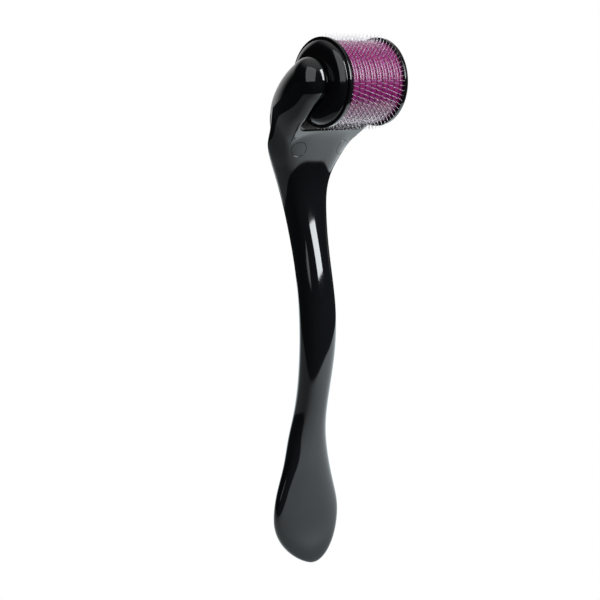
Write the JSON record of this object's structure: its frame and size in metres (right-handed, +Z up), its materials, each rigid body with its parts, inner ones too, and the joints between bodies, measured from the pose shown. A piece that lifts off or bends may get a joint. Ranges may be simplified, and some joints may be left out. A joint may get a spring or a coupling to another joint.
{
  "type": "derma roller",
  "caption": "Hand-held derma roller: a slim S-curved handle ends in a two-armed fork that carries a free-turning drum of needle discs and spacer rings.",
  "frame": {"origin": "under the middle of the object's box, at the height of the paddle's tip", "axes": "+Z up the handle from the paddle's tip to the drum, +X along the drum's axis, -Y to the side that the drum stands out of"},
  "size_m": [0.0316, 0.0362, 0.1424],
  "materials": {
    "handle_plastic": "high gloss, injection moulded",
    "cap_plastic": "high gloss, injection moulded",
    "core_plastic": "plain moulded",
    "ring_plastic": "clear tinted, glossy",
    "needle_steel": "bright"
  },
  "bodies": {
    "handle": {"handle": "handle_plastic"},
    "drum": {"drum_core": "core_plastic", "end_cap_left": "cap_plastic", "end_cap_right": "cap_plastic", "needle_disc_1": "needle_steel", "needle_disc_2": "needle_steel", "needle_disc_3": "needle_steel", "needle_disc_4": "needle_steel", "needle_disc_5": "needle_steel", "needle_disc_6": "needle_steel", "needle_disc_7": "needle_steel", "needle_disc_8": "needle_steel", "needle_disc_9": "needle_steel", "spacer_ring_1": "ring_plastic", "spacer_ring_2": "ring_plastic", "spacer_ring_3": "ring_plastic", "spacer_ring_4": "ring_plastic", "spacer_ring_5": "ring_plastic", "spacer_ring_6": "ring_plastic", "spacer_ring_7": "ring_plastic", "spacer_ring_8": "ring_plastic", "spacer_ring_9": "ring_plastic", "spacer_ring_10": "ring_plastic"}
  },
  "joints": [
    {"name": "drum_spin", "type": "hinge", "parent": "handle", "child": "drum", "pos_m": [0, -0.00588, 0.1304], "axis": [1, 0, 0], "continuous": true}
  ]
}
